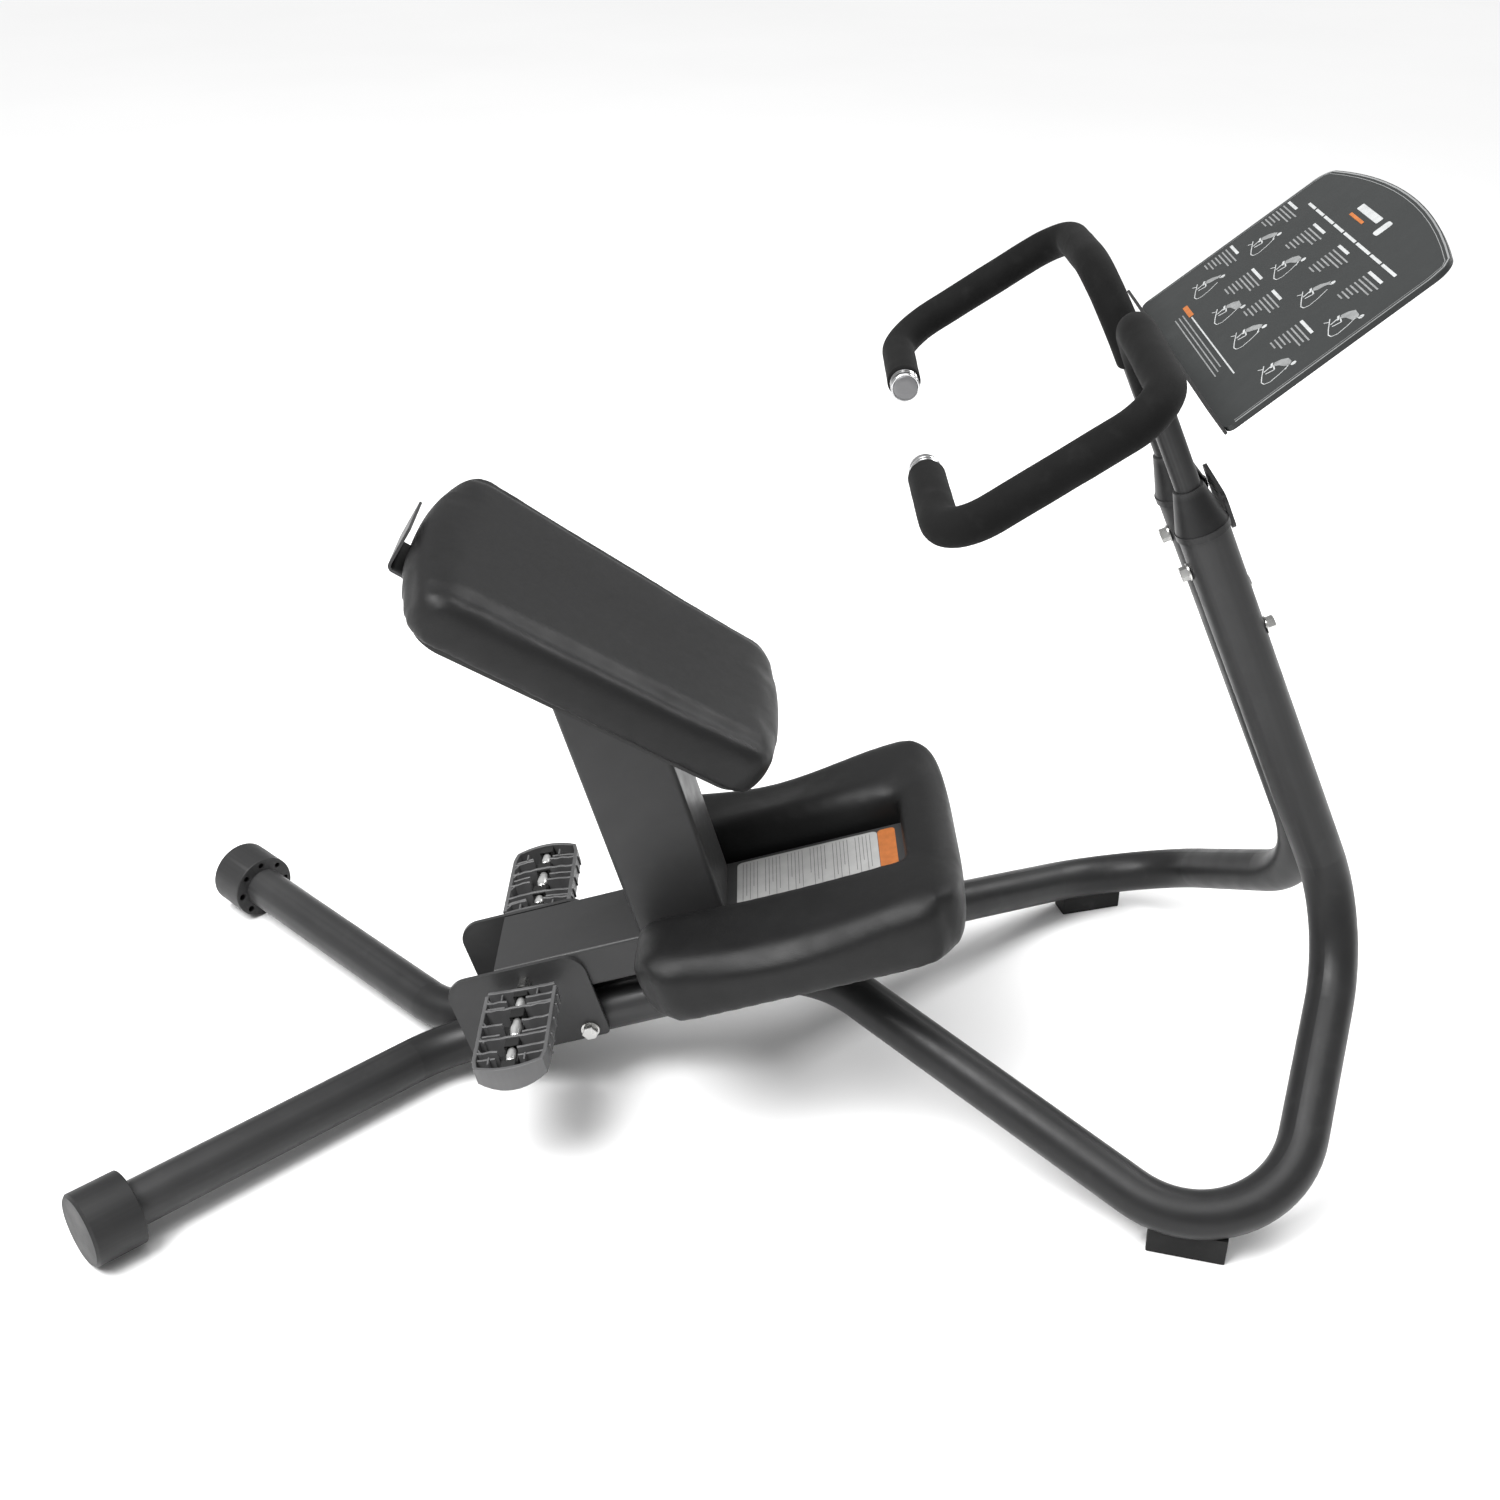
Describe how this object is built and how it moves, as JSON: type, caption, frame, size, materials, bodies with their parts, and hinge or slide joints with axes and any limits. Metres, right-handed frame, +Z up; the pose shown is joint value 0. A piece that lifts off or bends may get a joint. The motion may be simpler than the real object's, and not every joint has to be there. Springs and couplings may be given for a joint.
{
  "type": "stretch trainer",
  "caption": "Floor-standing stretching machine: a rocking seat, split knee pad and turning foot pegs on a bent tube frame with C-shaped handlebars and a tilted placard.",
  "frame": {"origin": "on the floor, on the plane of symmetry, midway along the machine", "axes": "+X toward the handlebars and placard, +Y to the user's left, +Z up"},
  "size_m": [1.3654, 0.7116, 0.9985],
  "materials": {
    "frame_paint": "satin powder coat",
    "moulded_plastic": "fine texture",
    "foot_rubber": "matte",
    "fastener_steel": "zinc plated",
    "grip_foam": "closed-cell foam",
    "bar_end_chrome": "polished",
    "placard_sheet": "printed sheet",
    "board": "black pad base",
    "pad_vinyl": "upholstery vinyl"
  },
  "bodies": {
    "base": {"rear_tube_left": "frame_paint", "rear_tube_right": "frame_paint", "front_tube_left": "frame_paint", "front_tube_right": "frame_paint", "joint_sleeve_left": "frame_paint", "joint_sleeve_right": "frame_paint", "spine_weld_upper": "frame_paint", "spine_weld_lower": "frame_paint", "rear_cap_left": "moulded_plastic", "rear_cap_right": "moulded_plastic", "front_foot_left": "foot_rubber", "front_foot_right": "foot_rubber", "pivot_bolt": "fastener_steel", "pivot_nut": "fastener_steel", "pivot_washer_left": "fastener_steel", "pivot_washer_right": "fastener_steel", "pivot_spacer_left": "fastener_steel", "pivot_spacer_right": "fastener_steel", "rest_bar": "frame_paint", "rest_pad": "foot_rubber", "stop_bar": "frame_paint", "stop_pad": "foot_rubber", "mast_collar_left": "frame_paint", "mast_collar_right": "frame_paint", "handlebar_left": "frame_paint", "handlebar_right": "frame_paint", "grip_foam_left": "grip_foam", "grip_foam_right": "grip_foam", "bar_end_left": "bar_end_chrome", "bar_end_right": "bar_end_chrome", "mast_bolt_rear_left": "fastener_steel", "mast_bolt_rear_right": "fastener_steel", "mast_bolt_front_left": "fastener_steel", "mast_bolt_front_right": "fastener_steel", "mast_bridge": "frame_paint", "bar_cross": "frame_paint", "placard_panel": "placard_sheet", "placard_ledge": "moulded_plastic", "placard_bracket": "frame_paint"},
    "carriage": {"beam": "frame_paint", "beam_plug": "moulded_plastic", "side_plate_left": "frame_paint", "side_plate_right": "frame_paint", "seat_post": "frame_paint", "seat_plate": "frame_paint", "seat_board": "board", "seat_cushion": "pad_vinyl", "seat_heel_bracket": "frame_paint", "knee_wing_left": "frame_paint", "knee_wing_right": "frame_paint", "knee_board": "board", "knee_cushion": "pad_vinyl", "peg_rod": "fastener_steel", "rod_nut_left": "fastener_steel", "rod_nut_right": "fastener_steel", "rod_washer_left": "fastener_steel", "rod_washer_right": "fastener_steel"},
    "peg_left": {"foot_peg_left": "moulded_plastic"},
    "peg_right": {"foot_peg_right": "moulded_plastic"}
  },
  "joints": [
    {"name": "carriage_rock", "type": "hinge", "parent": "base", "child": "carriage", "pos_m": [-0.157, 0, 0.08589], "axis": [0, -1, 0], "range_deg": [0, 10]},
    {"name": "peg_turn_left", "type": "hinge", "parent": "carriage", "child": "peg_left", "pos_m": [-0.22767, 0.139, 0.15094], "axis": [0, 1, 0], "continuous": true},
    {"name": "peg_turn_right", "type": "hinge", "parent": "carriage", "child": "peg_right", "pos_m": [-0.22767, -0.139, 0.15094], "axis": [0, 1, 0], "continuous": true}
  ]
}
